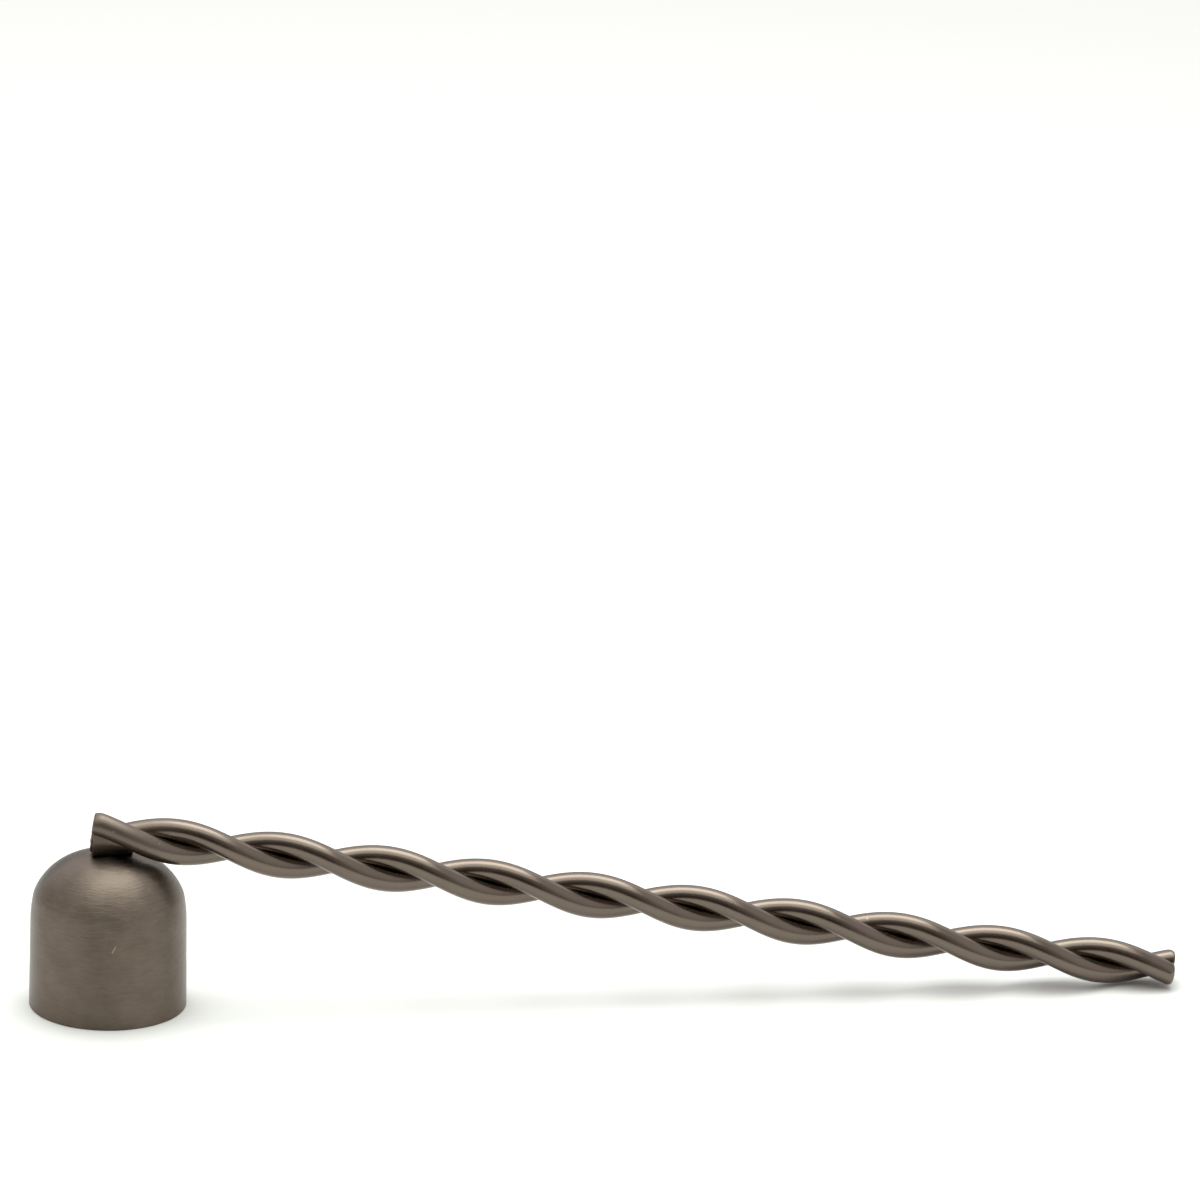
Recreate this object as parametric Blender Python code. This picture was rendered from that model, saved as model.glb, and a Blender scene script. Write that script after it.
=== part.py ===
"""Candle snuffer: a small metal bell brazed under one end of a handle twisted from two round rods.

It stands as it lies on a table, with the bell's rim flat down and the handle's far end touching the table.
+Z is up, +X runs from the bell along the handle, and the origin is under the middle of the whole object.
"""

import math

import bmesh
import bpy
from mathutils import Matrix, Vector

MM = 0.001  # metres in a millimetre

# Bell, a turned section: wall, bend, shoulder and a flat land round the axis
MOUTH_RADIUS = 13.85 * MM
BELL_HEIGHT = 27.5 * MM
BELL_WALL = 1.2 * MM
WALL_TAPER = math.radians(0.5)
SHOULDER_RADIUS = 11.0 * MM
SHOULDER_DEPTH = 7.0 * MM  # from the top down to the faint edge where the shoulder starts
BEND_RADIUS = 25.0 * MM
BEND_HEIGHT = 4.8 * MM  # from that edge down to where the wall starts to bend in
RIM_BREAK = 0.2 * MM  # broken edges of the rim

# Handle, two equal rods wound round one axis with a right-hand twist
ROD_DIAMETER = 4.0 * MM
TWIST_PITCH = 37.3 * MM
TWIST_START = math.radians(105)  # where the front rod's end sits round the axis: 0 is +Y and 90 is up
HANDLE_LENGTH = 196.0 * MM
HANDLE_OVERHANG = 3.2 * MM  # from the bell's axis back to the cut ends
CUT_CHAMFER = 0.3 * MM

# Joint between them
FIT_GAP = 0.25 * MM  # clearance between pieces that touch
BRAZE_WEB = 0.2 * MM  # thinnest filler under the rods
BRAZE_FLARE = 0.7 * MM  # how far the filler spreads past the rods along the bell
BRAZE_WIDTH = 6.0 * MM  # across the handle, where it meets the bell
BRAZE_REACH = 3.5 * MM  # how far it runs along the handle past the bell's axis

# Fineness of the round surfaces
TURN_STEPS = 40
ARC_STEPS = 8
ROD_SIDES = 16
ROD_STEP = 2.4 * MM
BRAZE_SIDES = 32
BRAZE_LEVELS = 4
CREASE = math.radians(35)  # edges sharper than this shade as corners

# How closely the handle's rest position is worked out
STEEPEST_SLOPE = math.radians(45)
SLOPE_HALVINGS = 40
LOWERING_STEPS = 12

# Sizes that follow from those above
WALL_HEIGHT = BELL_HEIGHT - SHOULDER_DEPTH - BEND_HEIGHT
WALL_TOP_RADIUS = MOUTH_RADIUS - math.tan(WALL_TAPER) * WALL_HEIGHT
BEND_CENTRE_R = WALL_TOP_RADIUS - BEND_RADIUS * math.cos(WALL_TAPER)
BEND_CENTRE_Z = WALL_HEIGHT - BEND_RADIUS * math.sin(WALL_TAPER)
BEND_END = math.asin(math.sin(WALL_TAPER) + BEND_HEIGHT / BEND_RADIUS)  # its slope where the shoulder starts
SHOULDER_START = math.asin(1 - SHOULDER_DEPTH / SHOULDER_RADIUS)
SHOULDER_CENTRE_Z = BELL_HEIGHT - SHOULDER_RADIUS
LAND_RADIUS = BEND_CENTRE_R + BEND_RADIUS * math.cos(BEND_END) - SHOULDER_RADIUS * math.cos(SHOULDER_START)
ROD_RADIUS = ROD_DIAMETER / 2
WIND_RADIUS = ROD_RADIUS + FIT_GAP / 2  # from the handle's axis to each rod's centre
SEAT = BRAZE_WEB + 2 * FIT_GAP  # from the bell up to the rods
ROD_STARTS = {"handle_rod_front": TWIST_START, "handle_rod_rear": TWIST_START + math.pi}

GUNMETAL = (0.155, 0.128, 0.104)


def material(name, roughness):
    """Satin dark-plated steel."""
    made = bpy.data.materials.new(name)
    made.use_nodes = True
    shader = made.node_tree.nodes["Principled BSDF"]
    shader.inputs["Base Color"].default_value = (*GUNMETAL, 1)
    shader.inputs["Metallic"].default_value = 1
    shader.inputs["Roughness"].default_value = roughness
    return made


def add(name, mesh, finish, parent):
    piece = bpy.data.objects.new(name, mesh)
    bpy.context.scene.collection.objects.link(piece)
    piece.parent = parent
    if finish:
        mesh.materials.append(finish)
    return piece


def add_cutter(name, mesh, parent):
    cutter = add(name, mesh, None, parent)
    cutter.hide_render = True
    cutter.display_type = "WIRE"
    return cutter


def lofted(name, rings):
    """One closed mesh through rings with the same count of points, capped at both ends."""
    work = bmesh.new()
    loops = [[work.verts.new(point) for point in ring] for ring in rings]
    for lower, upper in zip(loops, loops[1:]):
        for i in range(len(lower)):
            j = (i + 1) % len(lower)
            work.faces.new((lower[i], lower[j], upper[j], upper[i]))
    work.faces.new(list(reversed(loops[0])))
    work.faces.new(loops[-1])
    bmesh.ops.recalc_face_normals(work, faces=work.faces)
    mesh = bpy.data.meshes.new(name)
    work.to_mesh(mesh)
    work.free()
    mesh.shade_smooth()
    mesh.set_sharp_from_angle(angle=CREASE)
    return mesh


# Bell


def arc(centre_r, centre_z, radius, first, last, steps):
    angles = [first + (last - first) * i / steps for i in range(steps + 1)]
    return [(centre_r + radius * math.cos(angle), centre_z + radius * math.sin(angle)) for angle in angles]


def outer_outline():
    """(r, z) points of the bell's outer skin, from the axis out and down to the mouth."""
    shoulder = arc(LAND_RADIUS, SHOULDER_CENTRE_Z, SHOULDER_RADIUS, math.pi / 2, SHOULDER_START, ARC_STEPS)
    bend = arc(BEND_CENTRE_R, BEND_CENTRE_Z, BEND_RADIUS, BEND_END, WALL_TAPER, ARC_STEPS // 2)
    return [(0, BELL_HEIGHT)] + shoulder + bend[1:] + [(MOUTH_RADIUS, 0)]


def offset_outline(outline, distance):
    """The outline moved outwards by distance, mitred at each corner. Its ends stay on the axis and on the mouth."""
    moved = []
    for i, (r, z) in enumerate(outline):
        before = outline[max(i - 1, 0)]
        after = outline[min(i + 1, len(outline) - 1)]
        normals = []
        for (r0, z0), (r1, z1) in ((before, (r, z)), ((r, z), after)):
            length = math.hypot(r1 - r0, z1 - z0)
            if length:
                normals.append(Vector(((z0 - z1) / length, (r1 - r0) / length)))
        middle = sum(normals, Vector((0, 0))).normalized()
        if i == 0:
            middle = Vector((0, 1))
        elif i == len(outline) - 1:
            middle = Vector((1, 0))
        shift = middle * (distance / middle.dot(normals[0]))
        moved.append((r + shift.x, z + shift.y))
    return moved


def turned(name, section):
    """The section, which runs from the top of the axis down its outer side, turned round +Z."""
    mesh = bpy.data.meshes.new(name)
    points = [(r, 0, z) for r, z in section]
    mesh.from_pydata(points, [(i, i + 1) for i in range(len(points) - 1)], [])
    return mesh


def add_turn(piece):
    screw = piece.modifiers.new("turn", "SCREW")
    screw.steps = screw.render_steps = TURN_STEPS
    screw.use_merge_vertices = True
    screw.merge_threshold = 0.00001
    screw.use_smooth_shade = True


def add_bell(parent):
    outer = outer_outline()
    inner = offset_outline(outer, -BELL_WALL)
    mouth_outer, mouth_inner = outer.pop()[0], inner.pop()[0]
    rim = [
        (mouth_outer, RIM_BREAK),
        (mouth_outer - RIM_BREAK, 0),
        (mouth_inner + RIM_BREAK, 0),
        (mouth_inner, RIM_BREAK),
    ]
    section = outer + rim + list(reversed(inner))
    bell = add("bell", turned("bell", section), material("bell_plated_steel", 0.42), parent)
    add_turn(bell)


# Handle


def rod_section(along, start, radius):
    """Points round one rod where a plane square to the handle's axis cuts it, the handle lying along +X."""
    angle = start + 2 * math.pi * (along + HANDLE_OVERHANG) / TWIST_PITCH
    outward = Vector((0, math.cos(angle), math.sin(angle)))
    around = Vector((0, -math.sin(angle), math.cos(angle)))
    run = (Vector((1, 0, 0)) + around * (2 * math.pi * WIND_RADIUS / TWIST_PITCH)).normalized()
    side = run.cross(outward)
    centre = Vector((along, 0, 0)) + outward * WIND_RADIUS
    points = []
    for i in range(ROD_SIDES):
        turn = 2 * math.pi * i / ROD_SIDES
        point = centre + (outward * math.cos(turn) + side * math.sin(turn)) * radius
        points.append(point - run * ((point.x - along) / run.x))
    return points


def rod_sections(start, grown=0):
    """The rod's sections from cut end to cut end, or those of the space it needs if grown by a clearance."""
    first, last = -HANDLE_OVERHANG, HANDLE_LENGTH - HANDLE_OVERHANG
    inner_first, inner_last = first + CUT_CHAMFER, last - CUT_CHAMFER
    steps = math.ceil((inner_last - inner_first) / ROD_STEP)
    radius = ROD_RADIUS + grown
    sections = [rod_section(first - grown, start, radius - CUT_CHAMFER)]
    for i in range(steps + 1):
        sections.append(rod_section(inner_first + (inner_last - inner_first) * i / steps, start, radius))
    sections.append(rod_section(last + grown, start, radius - CUT_CHAMFER))
    return sections


def height_over_bell(point):
    """Distance from a point above the bell to the bell's outer skin."""
    r = math.hypot(point.x, point.y)
    if r <= LAND_RADIUS:
        return point.z - BELL_HEIGHT
    return math.hypot(r - LAND_RADIUS, point.z - SHOULDER_CENTRE_Z) - SHOULDER_RADIUS


def handle_rest():
    """(slope, height over the bell's axis) at which the rods sit on their seat and the far end touches the table."""
    points = [point for start in ROD_STARTS.values() for ring in rod_sections(start) for point in ring]
    steepest, flattest = STEEPEST_SLOPE, 0
    for _ in range(SLOPE_HALVINGS):
        slope = (steepest + flattest) / 2
        turn = Matrix.Rotation(slope, 3, "Y")
        laid = [turn @ point for point in points]
        over_bell = [point for point in laid if math.hypot(point.x, point.y) < MOUTH_RADIUS]
        height = BELL_HEIGHT + SEAT + ROD_DIAMETER
        for _ in range(LOWERING_STEPS):
            height -= min(height_over_bell(point + Vector((0, 0, height))) for point in over_bell) - SEAT
        if min(point.z for point in laid) + height > 0:
            flattest = slope
        else:
            steepest = slope
    return slope, height


def add_handle(parent):
    """The rods, modelled along +X and laid down by the empty that carries them."""
    slope, height = handle_rest()
    axis = bpy.data.objects.new("handle_axis", None)
    bpy.context.scene.collection.objects.link(axis)
    axis.parent = parent
    axis.location = (0, 0, height)
    axis.rotation_euler = (0, slope, 0)
    finish = material("rod_plated_steel", 0.34)
    for name, start in ROD_STARTS.items():
        add(name, lofted(name, rod_sections(start)), finish, axis)
    return axis


# Filler metal


def braze_rings(top):
    """Rings of a mound that stands in the bell's top and narrows, in a hollow curve, up to the given height."""
    start = -HANDLE_OVERHANG - BRAZE_FLARE
    centre_x = (start + BRAZE_REACH) / 2
    levels = [(BELL_HEIGHT - SHOULDER_DEPTH, 1)]
    for level in range(BRAZE_LEVELS + 1):
        share = level / BRAZE_LEVELS
        levels.append((BELL_HEIGHT + (top - BELL_HEIGHT) * share, (1 - share) ** 2))
    rings = []
    for height, spread in levels:
        half_length = (BRAZE_REACH - start) / 2 - BRAZE_FLARE * (1 - spread)
        half_width = BRAZE_WIDTH / 2 - BRAZE_FLARE * (1 - spread)
        turns = [2 * math.pi * i / BRAZE_SIDES for i in range(BRAZE_SIDES)]
        rings.append([(centre_x + half_length * math.cos(t), half_width * math.sin(t), height) for t in turns])
    return rings


def add_braze(parent, handle_axis):
    """A saddle of filler that fills the space under the rods and flares out onto the bell."""
    mound = lofted("braze_fillet", braze_rings(handle_axis.location.z - ROD_RADIUS))
    braze = add("braze_fillet", mound, material("braze_plated", 0.4), parent)
    cutters = [
        add_cutter(name + "_space", lofted(name + "_space", rod_sections(start_angle, FIT_GAP)), handle_axis)
        for name, start_angle in ROD_STARTS.items()
    ]
    grown = offset_outline(outer_outline(), FIT_GAP)
    bell_space = add_cutter("bell_space", turned("bell_space", grown + [(0, 0)]), parent)
    add_turn(bell_space)
    cutters.append(bell_space)
    for cutter in cutters:
        cut = braze.modifiers.new(cutter.name, "BOOLEAN")
        cut.operation = "DIFFERENCE"
        cut.solver = "EXACT"
        cut.object = cutter


def main():
    for leftover in list(bpy.data.objects):
        bpy.data.objects.remove(leftover, do_unlink=True)
    whole = bpy.data.objects.new("snuffer", None)
    bpy.context.scene.collection.objects.link(whole)
    add_bell(whole)
    handle_axis = add_handle(whole)
    add_braze(whole, handle_axis)

    bpy.context.view_layer.update()
    far_end = max(
        (piece.matrix_world @ vertex.co).x
        for piece in handle_axis.children
        if not piece.hide_render
        for vertex in piece.data.vertices
    )
    whole.location.x = (MOUTH_RADIUS - far_end) / 2


main()
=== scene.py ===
# Candle snuffer: a turned bell brazed under one end of a handle twisted from two round rods.
# This file gives the looks only. The sizes and the places come from the fixed CAD frame.

import math

import bpy
import numpy as np
from mathutils import Matrix, Vector, noise
from mathutils.bvhtree import BVHTree


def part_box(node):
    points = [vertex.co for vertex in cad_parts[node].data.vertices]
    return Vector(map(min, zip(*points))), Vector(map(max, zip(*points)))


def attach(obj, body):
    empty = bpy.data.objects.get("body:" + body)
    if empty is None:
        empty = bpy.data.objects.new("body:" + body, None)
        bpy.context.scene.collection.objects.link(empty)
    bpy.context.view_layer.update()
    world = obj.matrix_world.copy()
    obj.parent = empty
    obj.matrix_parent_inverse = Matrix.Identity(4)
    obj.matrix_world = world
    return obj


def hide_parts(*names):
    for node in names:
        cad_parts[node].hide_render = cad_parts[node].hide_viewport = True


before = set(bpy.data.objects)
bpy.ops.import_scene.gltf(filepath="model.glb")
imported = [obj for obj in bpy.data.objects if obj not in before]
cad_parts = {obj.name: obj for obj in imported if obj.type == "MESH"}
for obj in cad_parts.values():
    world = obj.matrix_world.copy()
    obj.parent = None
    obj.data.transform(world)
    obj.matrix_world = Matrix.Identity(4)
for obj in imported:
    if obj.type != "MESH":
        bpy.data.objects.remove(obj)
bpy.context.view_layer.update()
mm = 0.001

bellLow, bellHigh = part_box("bell")
bellCentre = Vector(((bellLow.x + bellHigh.x) / 2, (bellLow.y + bellHigh.y) / 2, bellLow.z))


def linearFromHex(code):
    channels = [int(code[i : i + 2], 16) / 255 for i in (1, 3, 5)]
    return [c / 12.92 if c <= 0.04045 else ((c + 0.055) / 1.055) ** 2.4 for c in channels]


def addNode(tree, kind, settings=None, inputs=None):
    # settings are the node's own; an input is a value, or the output socket that feeds it
    node = tree.nodes.new(kind)
    for name, value in (settings or {}).items():
        setattr(node, name, value)
    for name, value in (inputs or {}).items():
        if isinstance(value, bpy.types.NodeSocket):
            tree.links.new(value, node.inputs[name])
        else:
            node.inputs[name].default_value = value
    return node


def calculate(tree, operation, first, second):
    return addNode(tree, "ShaderNodeMath", {"operation": operation}, {0: first, 1: second}).outputs["Value"]


def vectorMath(tree, operation, inputs):
    return addNode(tree, "ShaderNodeVectorMath", {"operation": operation}, inputs)


def splitVector(tree, vector):
    return addNode(tree, "ShaderNodeSeparateXYZ", inputs={"Vector": vector}).outputs


def mapRange(tree, value, ends, onto, shape="LINEAR"):
    # ends of the value and what they turn into
    mapped = addNode(
        tree,
        "ShaderNodeMapRange",
        {"interpolation_type": shape},
        {"Value": value, "From Min": ends[0], "From Max": ends[1], "To Min": onto[0], "To Max": onto[1]},
    )
    return mapped.outputs["Result"]


def addNoise(tree, place, size, detail, roughness):
    inputs = {"Vector": place, "Scale": 1 / size, "Detail": detail, "Roughness": roughness}
    return addNode(tree, "ShaderNodeTexNoise", inputs=inputs).outputs["Fac"]


def mixTones(tree, share, first, second):
    # each tone is a hex code, or the socket of a tone that was mixed before
    tones = [t if isinstance(t, bpy.types.NodeSocket) else (*linearFromHex(t), 1) for t in (first, second)]
    mixed = addNode(
        tree, "ShaderNodeMix", {"data_type": "RGBA"}, {"Factor": share, 6: tones[0], 7: tones[1]}
    )
    return mixed.outputs[2]


def startMaterial(name):
    made = bpy.data.materials.new(name)
    made.use_nodes = True
    made.node_tree.nodes.clear()
    return made, made.node_tree


def finishMetal(tree, height, depth, inputs):
    # bare metal surface with fine relief: the height as a share of the depth
    bump = addNode(tree, "ShaderNodeBump", inputs={"Strength": 1.0, "Distance": depth, "Height": height})
    shader = addNode(
        tree,
        "ShaderNodeBsdfPrincipled",
        inputs={"Metallic": 1.0, "Normal": bump.outputs["Normal"], **inputs},
    )
    addNode(tree, "ShaderNodeOutputMaterial", inputs={"Surface": shader.outputs["BSDF"]})


def addPiece(name, rings, finish, place, node=None, capFirst=False, capLast=False):
    # a mesh skinned over rings of the same count; a ring of one point closes it like a pole
    points = []
    faces = []
    starts = []
    for ring in rings:
        starts.append(len(points))
        points.extend(ring)
    for lower, upper in zip(range(len(rings) - 1), range(1, len(rings))):
        a, b = starts[lower], starts[upper]
        n, m = len(rings[lower]), len(rings[upper])
        for i in range(max(n, m)):
            j = (i + 1) % max(n, m)
            corners = [a + i % n, a + j % n, b + j % m, b + i % m]
            faces.append(list(dict.fromkeys(corners)))
    if capFirst:
        faces.append(list(range(starts[0] + len(rings[0]) - 1, starts[0] - 1, -1)))
    if capLast:
        faces.append(list(range(starts[-1], starts[-1] + len(rings[-1]))))
    mesh = bpy.data.meshes.new(name)
    mesh.from_pydata(points, [], faces)
    mesh.validate()
    mesh.shade_smooth()
    mesh.materials.append(finish)
    piece = bpy.data.objects.new(name, mesh)
    bpy.context.scene.collection.objects.link(piece)
    piece.location = place
    bpy.context.view_layer.update()
    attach(piece, "root")
    if node:
        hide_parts(node)
    return piece


# Finishes

plating = {
    "bareMetal": "#b3a799",
    # the bell
    "turnedTones": ("#61564d", "#766b61"),
    "turnedRoughness": (0.36, 0.47),  # in the lines and between them
    "turnedStretch": 0.75,  # how much softer the gloss is across the lines than along them
    "turnedCloud": 5 * mm,  # size of the slow changes of tone
    "lineSpacing": 0.5 * mm,  # feed of the polishing wheel, coarser than the real 0.05 mm so that it shows
    "lineLength": 2.4 * mm,
    "lineDepth": 0.065 * mm,
    # one longer scratch on the front, between these two points, from the mouth's centre
    "scratch": (Vector((-0.2, -13.83, 14.5)) * mm, Vector((0.4, -13.82, 15.6)) * mm),
    "scratchWidth": 0.17 * mm,
    # the rods
    "rodTones": ("#685d55", "#72675e"),
    "rodRoughness": (0.20, 0.27),
    "rodCloud": 4 * mm,
    "dulledRoughness": 0.42,  # of the rods where the heat of brazing reached
    "dulledLength": (2 * mm, 14 * mm),  # from the bell's axis: up to where it is full, and where it ends
    "nickSpacing": 5 * mm,  # small knocks
    "nickRadius": 0.24 * mm,
    "nickStrength": 0.4,
    "grainSize": 0.3 * mm,  # marks of the drawing die, coarser than the real 0.1 mm so that they show
    "grainDepth": 0.008 * mm,
    # the filler: darker than the rods, as painted shade for the shadowed joint under the rods
    "brazeShadeTones": ("#5d524a", "#675c53"),
    "brazeRoughness": (0.42, 0.49),
}


def turnedLines(tree, place):
    # short fine lines round the axis, as noise drawn out along them
    parts = splitVector(tree, place)
    flat = addNode(tree, "ShaderNodeCombineXYZ", inputs={"X": parts["X"], "Y": parts["Y"]})
    radius = vectorMath(tree, "LENGTH", {0: flat.outputs["Vector"]}).outputs["Value"]
    # height less radius grows steadily along the outline from the rim to the top
    along = calculate(tree, "SUBTRACT", parts["Z"], radius)
    lineSpace = addNode(
        tree,
        "ShaderNodeCombineXYZ",
        inputs={
            "X": calculate(tree, "DIVIDE", parts["X"], plating["lineLength"]),
            "Y": calculate(tree, "DIVIDE", parts["Y"], plating["lineLength"]),
            "Z": calculate(tree, "DIVIDE", along, plating["lineSpacing"]),
        },
    )
    return addNoise(tree, lineSpace.outputs["Vector"], 1, 3.0, 0.6)


def scratchMask(tree, place):
    # distance from the scratch's line: how far along it each point lies, then what is left over
    start, end = plating["scratch"]
    run = end - start
    fromStart = vectorMath(tree, "SUBTRACT", {0: place, 1: start}).outputs["Vector"]
    reach = vectorMath(tree, "DOT_PRODUCT", {0: fromStart, 1: run / run.length_squared}).outputs["Value"]
    held = addNode(tree, "ShaderNodeClamp", inputs={"Value": reach}).outputs["Result"]
    onLine = vectorMath(tree, "SCALE", {0: run, "Scale": held}).outputs["Vector"]
    away = vectorMath(tree, "DISTANCE", {0: fromStart, 1: onLine}).outputs["Value"]
    width = plating["scratchWidth"]
    return mapRange(tree, away, (0.3 * width, width), (1.0, 0.0))


def turnedGunmetal():
    # Gunmetal plating on steel that was turned and brushed round: a soft, warm grey gloss that
    # spreads across the fine rings, so a highlight runs up and down the bell
    made, tree = startMaterial("turned_gunmetal_plating")
    place = addNode(tree, "ShaderNodeTexCoord").outputs["Object"]
    lines = turnedLines(tree, place)
    cloud = addNoise(tree, place, plating["turnedCloud"], 4.0, 0.55)
    share = mapRange(tree, calculate(tree, "ADD", lines, cloud), (0.6, 1.4), (0.0, 1.0))
    tone = mixTones(tree, share, *plating["turnedTones"])
    inputs = {
        "Base Color": mixTones(tree, scratchMask(tree, place), tone, plating["bareMetal"]),
        "Roughness": mapRange(tree, lines, (0.25, 0.75), plating["turnedRoughness"]),
        "Anisotropic": plating["turnedStretch"],
        "Anisotropic Rotation": 0.25,  # a quarter turn, so that the gloss spreads across the lines
    }
    finishMetal(tree, lines, plating["lineDepth"], inputs)
    return made


def drawnGunmetal(name, tones, roughness):
    # Gunmetal plating on drawn round steel rod: smoother than the bell, with a narrow bright
    # line along the crest, faint drawing marks and a few small knocks down to the bare metal
    made, tree = startMaterial(name)
    place = addNode(tree, "ShaderNodeTexCoord").outputs["Object"]
    cloud = addNoise(tree, place, plating["rodCloud"], 4.0, 0.55)
    grain = addNoise(tree, place, plating["grainSize"], 2.0, 0.5)
    cells = addNode(
        tree, "ShaderNodeTexVoronoi", inputs={"Vector": place, "Scale": 1 / plating["nickSpacing"]}
    )
    nickShare = plating["nickRadius"] / plating["nickSpacing"]
    nicks = mapRange(
        tree, cells.outputs["Distance"], (0.5 * nickShare, nickShare), (plating["nickStrength"], 0.0)
    )
    # the heat of brazing dulled the rods near the bell
    full, ends = plating["dulledLength"]
    heat = mapRange(
        tree,
        splitVector(tree, place)["X"],
        (bellCentre.x + full, bellCentre.x + ends),
        (1.0, 0.0),
        "SMOOTHSTEP",
    )
    clean = mapRange(tree, cloud, (0.25, 0.75), roughness)
    dulled = addNode(
        tree,
        "ShaderNodeMix",
        {"data_type": "FLOAT"},
        {"Factor": heat, 2: clean, 3: plating["dulledRoughness"]},
    )
    inputs = {
        "Base Color": mixTones(tree, nicks, mixTones(tree, cloud, *tones), plating["bareMetal"]),
        "Roughness": dulled.outputs[0],
    }
    finishMetal(tree, calculate(tree, "SUBTRACT", grain, nicks), plating["grainDepth"], inputs)
    return made


print("finishes")
bellFinish = turnedGunmetal()
rodFinish = drawnGunmetal("drawn_gunmetal_plating", plating["rodTones"], plating["rodRoughness"])
# the filler's darker tones are painted shade for the shadowed joint under the rods
brazeShadedFinish = drawnGunmetal("brazed_gunmetal_painted_shade", plating["brazeShadeTones"], plating["brazeRoughness"])

# Bell

bell = {
    "mouthRadius": (bellHigh.x - bellLow.x) / 2,
    "height": bellHigh.z - bellLow.z,
    "wall": 1.2 * mm,
    "taper": math.radians(0.5),
    "shoulderRadius": 11 * mm,
    "shoulderDepth": 7 * mm,  # from the top down to the faint edge round the shoulder
    "edgeRound": 0.6 * mm,  # how far that edge is softened, along the outline
    "bendRadius": 25 * mm,
    "bendHeight": 4.8 * mm,
    "rimRound": 0.2 * mm,
    "step": 0.2 * mm,  # between points of the outline
    "insideStep": 0.8 * mm,
    "segments": 256,
    "waviness": 0.012 * mm,  # slow hollows left by hand polishing
    "waveSize": Vector((4, 4, 2.5)) * mm,
    "waveClear": (3 * mm, 1 * mm),  # none nearer to the axis than this, or to the rim
}


def arcPoints(centreR, centreZ, radius, first, last, step):
    count = max(2, math.ceil(abs(last - first) * radius / step))
    angles = [first + (last - first) * i / count for i in range(count + 1)]
    return [(centreR + radius * math.cos(a), centreZ + radius * math.sin(a)) for a in angles]


def linePoints(start, end, step):
    count = max(1, math.ceil(math.dist(start, end) / step))
    return [
        (start[0] + (end[0] - start[0]) * i / count, start[1] + (end[1] - start[1]) * i / count)
        for i in range(count + 1)
    ]


def bellArcs():
    # where the arcs of the outline are centred and where they end: the straight wall leads into a slack
    # bend, and that meets the shoulder at an edge
    wallHeight = bell["height"] - bell["shoulderDepth"] - bell["bendHeight"]
    wallTopR = bell["mouthRadius"] - math.tan(bell["taper"]) * wallHeight
    bendR = wallTopR - bell["bendRadius"] * math.cos(bell["taper"])
    bendZ = wallHeight - bell["bendRadius"] * math.sin(bell["taper"])
    bendEnd = math.asin(math.sin(bell["taper"]) + bell["bendHeight"] / bell["bendRadius"])
    edgeR = bendR + bell["bendRadius"] * math.cos(bendEnd)
    shoulderEnd = math.asin(1 - bell["shoulderDepth"] / bell["shoulderRadius"])
    return {
        "wallTop": (wallTopR, wallHeight),
        "bend": (bendR, bendZ, bell["bendRadius"], bendEnd, bell["taper"]),
        "shoulderEnd": shoulderEnd,
        "landRadius": edgeR - bell["shoulderRadius"] * math.cos(shoulderEnd),
        "shoulderZ": bell["height"] - bell["shoulderRadius"],
    }


bell.update(bellArcs())


def bellOutline(step):
    # (radius, height) from the axis out over the shoulder and down to the rim
    land = (bell["landRadius"], bell["height"])
    top = linePoints((0, bell["height"]), land, step)[:-1]
    shoulder = arcPoints(
        land[0], bell["shoulderZ"], bell["shoulderRadius"], math.pi / 2, bell["shoulderEnd"], step
    )
    bend = arcPoints(*bell["bend"], step)
    wall = linePoints(bell["wallTop"], (bell["mouthRadius"], 0), step)
    return top + shoulder + bend[1:] + wall[1:]


def softened(outline, reach):
    # each point but the two at either end moved to the mean of the outline within reach, to round its edges
    points = np.array(outline)
    lengths = np.concatenate([[0], np.cumsum(np.linalg.norm(np.diff(points, axis=0), axis=1))])
    result = points.copy()
    samples = 9
    for i in range(2, len(points) - 2):
        span = min(reach, lengths[i], lengths[-1] - lengths[i])
        at = np.linspace(lengths[i] - span, lengths[i] + span, samples)
        result[i] = [np.interp(at, lengths, points[:, axis]).mean() for axis in (0, 1)]
    return [tuple(p) for p in result]


def insideOutline(outline, wall):
    # the outline moved inwards by the wall
    points = np.array(outline)
    run = np.gradient(points, axis=0)
    run /= np.linalg.norm(run, axis=1)[:, None]
    inner = points + np.stack([run[:, 1], -run[:, 0]], axis=1) * wall
    inner[0] = (0, outline[0][1] - wall)
    return [tuple(p) for p in inner if p[0] >= 0]


def bellRings():
    outer = softened(bellOutline(bell["step"]), bell["edgeRound"])
    inner = insideOutline(softened(bellOutline(bell["insideStep"]), bell["edgeRound"]), bell["wall"])
    r = bell["rimRound"]
    mouth, hollow = outer[-1][0], inner[-1][0]
    outer = [p for p in outer if p[1] > r]
    inner = [p for p in inner if p[1] > r]
    rim = arcPoints(mouth - r, r, r, 0, -math.pi / 2, r / 4)
    rim += arcPoints(hollow + r, r, r, -math.pi / 2, -math.pi, r / 4)
    section = outer[1:] + rim + list(reversed(inner))[:-1]
    clearRadius, clearHeight = bell["waveClear"]
    size = bell["waveSize"]
    rings = [[Vector((0, 0, outer[0][1]))]]
    for radius, height in section:
        ring = []
        for i in range(bell["segments"]):
            turn = 2 * math.pi * i / bell["segments"]
            point = Vector((radius * math.cos(turn), radius * math.sin(turn), height))
            if radius > clearRadius and height > clearHeight:
                wave = noise.noise(Vector((point.x / size.x, point.y / size.y, point.z / size.z)))
                point += Vector((point.x, point.y, 0)).normalized() * wave * bell["waviness"]
            ring.append(point)
        rings.append(ring)
    rings.append([Vector((0, 0, inner[0][1]))])
    return [list(reversed(ring)) for ring in rings]


print("bell")
addPiece("bell_shell", bellRings(), bellFinish, bellCentre, "bell")

# Handle

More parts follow.
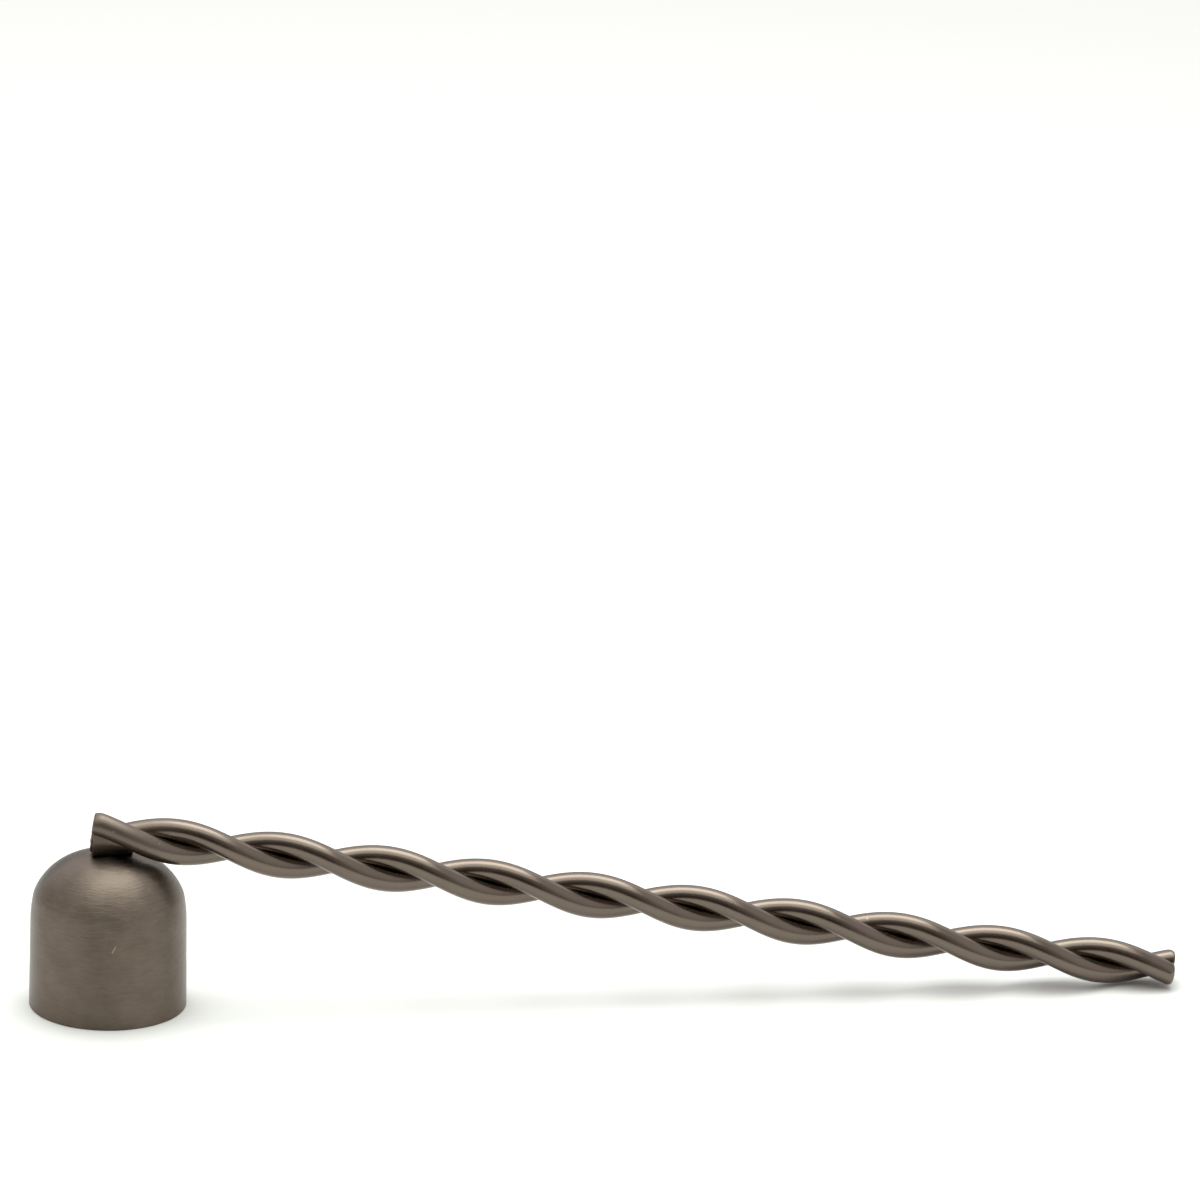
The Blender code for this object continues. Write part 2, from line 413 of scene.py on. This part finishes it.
handle = {
    "rodRadius": 2.04 * mm,
    "windRadius": 2 * mm,  # the real rods touch
    "pitch": 37.3 * mm,
    "droop": 0.08 * mm,  # the joint end hangs a hair below the straight line
    "bite": (0.1 * mm, 7 * mm),  # the last turn is pressed down a little more where it was brazed
    "tipLift": (0.42 * mm, 28 * mm),  # the free end turns up a little over this length
    # slow up and down left by the twisting: its size, its length and where it rises past the straight line
    "sway": (0.07 * mm, 84 * mm, 89 * mm),
    "step": 0.4 * mm,
    "sides": 56,
    "endSteps": 12,
    "edgeRound": 0.25 * mm,  # at the rim of an end face
    "faceInset": 0.9,  # a ring at this share of an end face's radius keeps its rim crisp
    "cutSlant": (0.15, 4 * mm),  # of the saw cut, and the length over which the rings straighten out
    "nudge": 0.05 * mm,  # either way along a rod, to find its direction
}
# start: where the rod's end sits round the handle, 0 is +Y and 90 is up
# extra: how far the cut end and the tip pass the handle's nominal ends
# worn: how far along the rod the end is worn, how deep, and how strongly the wear keeps to the outer side
rodDetails = {
    "front": {
        "start": math.radians(104.7),
        "extra": (-0.1 * mm, 0.25 * mm),
        "worn": ((1.8 * mm, 0.7 * mm, 3), (1.1 * mm, 0.6 * mm, 1)),
    },
    "rear": {
        "start": math.radians(284.7),
        "extra": (-0.25 * mm, 0.7 * mm),
        "worn": ((1.2 * mm, 0.3 * mm, 2), (1.2 * mm, 0.6 * mm, 1)),
    },
}


def handleLine():
    # the long axis of the two CAD rods: a point on it at the cut end, its direction and its length
    points = []
    for name in ("handle_rod_front", "handle_rod_rear"):
        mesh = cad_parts[name].data
        flat = np.empty(len(mesh.vertices) * 3)
        mesh.vertices.foreach_get("co", flat)
        points.append(flat.reshape(-1, 3))
    points = np.concatenate(points)
    centre = points.mean(axis=0)
    run = np.linalg.svd(points - centre, full_matrices=False)[2][0]
    run = run if run[0] > 0 else -run
    reach = (points - centre) @ run
    return Vector(centre + run * reach.min()), Vector(run), float(reach.max() - reach.min())


cutEnd, handleRun, handleLength = handleLine()
handleSide = Vector((0, 1, 0))
handleUp = handleRun.cross(handleSide).normalized()


def handleLift(along):
    # how far the real handle strays from its straight line
    bite, biteLength = handle["bite"]
    tip, tipLength = handle["tipLift"]
    low = handle["droop"] * max(0, 1 - 2 * along / handleLength) ** 2
    low += bite * math.exp(-((along / biteLength) ** 2))
    sway, swayLength, swayStart = handle["sway"]
    wave = sway * math.sin(2 * math.pi * (along - swayStart) / swayLength)
    wave *= min(1, max(0, 1 + 4 * (along - swayStart) / swayLength))
    return tip * max(0, (along - handleLength + tipLength) / tipLength) ** 2 + wave - low


def rodCentre(along, start):
    turn = start + 2 * math.pi * along / handle["pitch"]
    outward = handleSide * math.cos(turn) + handleUp * math.sin(turn)
    return cutEnd + handleRun * along + handleUp * handleLift(along) + outward * handle["windRadius"], outward


def rodRing(start, along, radii):
    # where a plane square to the handle, or slanted as the saw cut is, cuts the rod
    centre, outward = rodCentre(along, start)
    ahead, behind = [rodCentre(along + nudge, start)[0] for nudge in (handle["nudge"], -handle["nudge"])]
    run = (ahead - behind).normalized()
    side = run.cross(outward).normalized()
    lift = side.cross(run)
    slant, slantLength = handle["cutSlant"]
    facing = handleRun - handleSide * slant * max(0, 1 - along / slantLength)
    ring = []
    for i, radius in enumerate(radii):
        turn = 2 * math.pi * i / handle["sides"]
        point = centre + (lift * math.cos(turn) + side * math.sin(turn)) * radius
        away = point - cutEnd - handleRun * along
        ring.append(point - run * (away.dot(facing) / run.dot(facing)))
    return ring


def endRings(worn):
    # rings over one end: the distance in from the face and the radius of each point, face first
    length, depth, power = worn
    radius, edge = handle["rodRadius"], handle["edgeRound"]
    rings = []
    for step in range(handle["endSteps"] + 1):
        share = 1 - math.cos(math.pi / 2 * step / handle["endSteps"])
        inward = max(edge, length) * share
        corner = edge - math.sqrt(edge**2 - max(0, edge - inward) ** 2)
        radii = []
        for i in range(handle["sides"]):
            outwardness = ((1 + math.cos(2 * math.pi * i / handle["sides"])) / 2) ** power
            radii.append(radius - corner - depth * outwardness * (1 - share) ** 2)
        if step == 0:
            rings.append((inward, [handle["faceInset"] * r for r in radii]))
        rings.append((inward, radii))
    return rings


def rodRings(detail):
    first, last = -detail["extra"][0], handleLength + detail["extra"][1]
    cut, tip = [endRings(worn) for worn in detail["worn"]]
    rings = [(first + inward, radii) for inward, radii in cut]
    begin, finish = first + cut[-1][0], last - tip[-1][0]
    count = math.ceil((finish - begin) / handle["step"])
    for i in range(1, count):
        rings.append((begin + (finish - begin) * i / count, [handle["rodRadius"]] * handle["sides"]))
    rings += [(last - inward, radii) for inward, radii in reversed(tip)]
    return [rodRing(detail["start"], along, radii) for along, radii in rings]


print("handle")
rods = {}
for name, detail in rodDetails.items():
    rods[name] = addPiece(
        name + "_rod",
        rodRings(detail),
        rodFinish,
        Vector((0, 0, 0)),
        "handle_rod_" + name,
        capFirst=True,
        capLast=True,
    )

# Braze

def bellTop(x, y):
    # height of the bell's skin near its axis
    off = math.hypot(x - bellCentre.x, y - bellCentre.y)
    beyond = max(0, off - bell["landRadius"])
    return bell["shoulderZ"] + math.sqrt(bell["shoulderRadius"] ** 2 - beyond**2)


saddle = {
    "from": 0.35 * mm,  # along the handle, from the cut end
    "to": 6.2 * mm,
    "halfWidth": 0.8 * mm,
    "flare": 0.25 * mm,  # where it runs out onto the bell and onto the rod
    "bury": 0.06,  # share of its height that sinks into each
    "levels": 16,
    "sides": 80,
    "rayStart": 1 * mm,  # below the bell's skin
    "raysFrom": 0.7 * mm,  # rays nearer to the cut end than this are moved here, where they meet the rods
}


def saddleRings():
    # filler drawn in between the rear rod's underside and the bell, hollow all round
    trees = []
    for rod in rods.values():
        mesh = rod.data
        trees.append(BVHTree.FromPolygons([v.co for v in mesh.vertices], [p.vertices for p in mesh.polygons]))
    start = rodDetails["rear"]["start"]
    middle, half = (saddle["to"] + saddle["from"]) / 2, (saddle["to"] - saddle["from"]) / 2
    rings = []
    for level in range(saddle["levels"] + 1):
        share = -saddle["bury"] + (1 + 2 * saddle["bury"]) * level / saddle["levels"]
        lower = saddle["flare"] * min(1, max(0, 1 - share)) ** 3
        upper = saddle["flare"] * min(1, max(0, share)) ** 3
        ring = []
        for i in range(saddle["sides"]):
            turn = 2 * math.pi * i / saddle["sides"]
            spread = lower + upper * (1 if math.cos(turn) > 0 else 1 - math.cos(turn) ** 2)
            along = middle + (half + spread) * math.cos(turn)
            centre = rodCentre(along, start)[0]
            run = rodCentre(along + 2 * handle["nudge"], start)[0] - centre
            across = Vector((-run.y, run.x, 0)).normalized() * (saddle["halfWidth"] + spread) * math.sin(turn)
            x, y = centre.x + across.x, centre.y + across.y
            low = bellTop(x, y)
            below = Vector((max(x, cutEnd.x + saddle["raysFrom"]), y, low - saddle["rayStart"]))
            hits = [tree.ray_cast(below, Vector((0, 0, 1)))[0] for tree in trees]
            high = min(hit.z for hit in hits if hit)
            ring.append(Vector((x, y, low + (high - low) * share)))
        rings.append(ring)
    return rings


web = {
    "start": 0.03 * mm,  # in from the front rod's cut end
    "length": 7.5 * mm,
    "turn": math.radians(52),  # where it meets the front rod, down from that rod's front
    "tuck": (1.5 * mm, 4.6 * mm),  # how far it leans back under the rod, at the cut end and at the other
    "bulge": 0.12 * mm,
    "foot": 0.12 * mm,  # the small fillet at its foot
    "sink": (0.03 * mm, 0.08 * mm),  # how far it goes into the front rod, and into the bell
    "crown": 0.65,  # its hidden top: share of the way from the rear rod's centre to the front rod's
    "steps": 30,
    "sides": 16,
}


def webRings():
    # filler that closes the front of the joint, from the lower side of the front rod down to the bell
    rings = []
    begin = -rodDetails["front"]["extra"][0] + web["start"]
    turn = web["turn"]
    intoRod, intoBell = web["sink"]
    toEdge = (handleSide * math.cos(turn) + handleUp * math.sin(turn)) * (handle["rodRadius"] - intoRod)
    firstTuck, lastTuck = web["tuck"]
    for step in range(web["steps"] + 1):
        share = step / web["steps"]
        along = begin + web["length"] * share
        upper = rodCentre(along, rodDetails["front"]["start"])[0]
        lower = rodCentre(along, rodDetails["rear"]["start"])[0]
        high = upper - toEdge
        tuck = firstTuck + (lastTuck - firstTuck) * share
        x, y = high.x, high.y + tuck
        low = Vector((x, y, bellTop(x, y) - intoBell))
        ring = []
        for i in range(web["sides"] + 1):
            part = i / web["sides"]
            out = web["bulge"] * 4 * part * (1 - part) + web["foot"] * part**6
            inward = tuck * part ** (3 - 2 * share) - out
            ring.append(Vector((x, high.y + inward, high.z + (low.z - high.z) * part)))
        ring += [Vector((x, lower.y, low.z)), lower, lower.lerp(upper, web["crown"])]
        rings.append(ring)
    return rings


print("braze")
# both filler pieces take the darker finish, which paints the joint's shade into their colour
addPiece(
    "braze_saddle",
    saddleRings(),
    brazeShadedFinish,
    Vector((0, 0, 0)),
    "braze_fillet",
    capFirst=True,
    capLast=True,
)
addPiece(
    "braze_web",
    webRings(),
    brazeShadedFinish,
    Vector((0, 0, 0)),
    capFirst=True,
    capLast=True,
)

# Floor, light and camera

studio = {
    "floorSize": 12,
    "floor": "#eaeae8",
    "floorRoughness": 0.9,
    "front": (0.41, "#fff8f0"),  # how bright the room is towards -Y, and its tint
    "back": (0.68, "#ffffff"),  # towards +Y
    "frontToBack": (-0.75, 0.9),  # where one fades into the other
    # brighter and darker places in the room: azimuth from -Y towards +X, elevation,
    # how far from there the place stays full and where it ends, all in degrees, and its brightness
    "glows": (
        (180, 46, 8, 50, 1.05),
        (-85, 35, 10, 45, 0.36),
        (72, 30, 10, 45, 0.45),
        (-16, 10, 6, 34, -0.3),
        (180, 5, 8, 40, -0.7),
    ),
    "lampTint": "#f8fffb",
    # softboxes overhead: place in metres, size in metres, power in watts
    "softboxes": (
        (Vector((-0.08, -0.075, 0.85)), (0.9, 0.95), 4.7),
        (Vector((0.03, 0.16, 0.84)), (0.6, 0.5), 2.6),
    ),
}


def paleFloor():
    # Smooth pale paper without gloss, which takes the object's soft shade
    made, tree = startMaterial("pale_paper")
    shader = addNode(
        tree,
        "ShaderNodeBsdfPrincipled",
        inputs={"Base Color": (*linearFromHex(studio["floor"]), 1), "Roughness": studio["floorRoughness"]},
    )
    addNode(tree, "ShaderNodeOutputMaterial", inputs={"Surface": shader.outputs["BSDF"]})
    half = studio["floorSize"] / 2
    corners = [Vector((half * x, half * y, 0)) for x, y in ((-1, -1), (1, -1), (1, 1), (-1, 1))]
    mesh = bpy.data.meshes.new("floor")
    mesh.from_pydata(corners, [], [(0, 1, 2, 3)])
    mesh.materials.append(made)
    floor = bpy.data.objects.new("floor", mesh)
    bpy.context.scene.collection.objects.link(floor)


def softLight():
    world = bpy.data.worlds.new("studio")
    bpy.context.scene.world = world
    world.use_nodes = True
    tree = world.node_tree
    tree.nodes.clear()
    place = addNode(tree, "ShaderNodeTexCoord").outputs["Generated"]
    toBack = mapRange(
        tree, splitVector(tree, place)["Y"], studio["frontToBack"], (0.0, 1.0), "SMOOTHSTEP"
    )
    tints = []
    for bright, tint in (studio["front"], studio["back"]):
        tints.append([c * bright for c in linearFromHex(tint)] + [1])
    room = addNode(
        tree, "ShaderNodeMix", {"data_type": "RGBA"}, {"Factor": toBack, 6: tints[0], 7: tints[1]}
    )
    light = room.outputs[2]
    for turn, rise, full, ends, strength in studio["glows"]:
        turn, rise, full, ends = [math.radians(a) for a in (turn, rise, full, ends)]
        towards = (math.sin(turn) * math.cos(rise), -math.cos(turn) * math.cos(rise), math.sin(rise))
        near = vectorMath(tree, "DOT_PRODUCT", {0: place, 1: towards}).outputs["Value"]
        glow = mapRange(tree, near, (math.cos(ends), math.cos(full)), (0.0, strength), "SMOOTHSTEP")
        light = vectorMath(tree, "ADD", {0: light, 1: glow}).outputs["Vector"]
    background = addNode(tree, "ShaderNodeBackground", inputs={"Color": light})
    addNode(tree, "ShaderNodeOutputWorld", inputs={"Surface": background.outputs["Background"]})
    for place, size, power in studio["softboxes"]:
        lamp = bpy.data.lights.new("overhead_softbox", "AREA")
        lamp.shape = "RECTANGLE"
        lamp.size, lamp.size_y = size
        lamp.energy = power
        lamp.color = linearFromHex(studio["lampTint"])
        softbox = bpy.data.objects.new("overhead_softbox", lamp)
        bpy.context.scene.collection.objects.link(softbox)
        softbox.location = place


print("floor and light")
paleFloor()
softLight()

view = {
    "azimuth": math.radians(-7.852),
    "elevation": math.radians(17.951),
    "roll": math.radians(1.833),
    "target": Vector((85.262 * mm, 0, 73.637 * mm)),  # from the bell's axis
    "distance": 1257.55 * mm,
    "lens": 216,
    "sensor": 36,
    "clip": (0.05, 40),
}


def addCamera():
    azimuth, elevation, roll = view["azimuth"], view["elevation"], view["roll"]
    level = Vector((-math.sin(azimuth), math.cos(azimuth), 0))
    forward = level * math.cos(elevation) - Vector((0, 0, math.sin(elevation)))
    right = forward.cross(Vector((0, 0, 1))).normalized()
    up = right.cross(forward)
    tiltedRight = right * math.cos(roll) + up * math.sin(roll)
    tiltedUp = up * math.cos(roll) - right * math.sin(roll)
    camera = bpy.data.objects.new("camera", bpy.data.cameras.new("camera"))
    camera.data.lens = view["lens"]
    camera.data.sensor_width = view["sensor"]
    camera.data.clip_start, camera.data.clip_end = view["clip"]
    turned = Matrix((tiltedRight, tiltedUp, -forward)).transposed().to_4x4()
    place = bellCentre + view["target"] - forward * view["distance"]
    camera.matrix_world = Matrix.Translation(place) @ turned
    bpy.context.scene.collection.objects.link(camera)
    bpy.context.scene.camera = camera


addCamera()
bpy.context.scene.view_settings.view_transform = "Standard"

print("done")
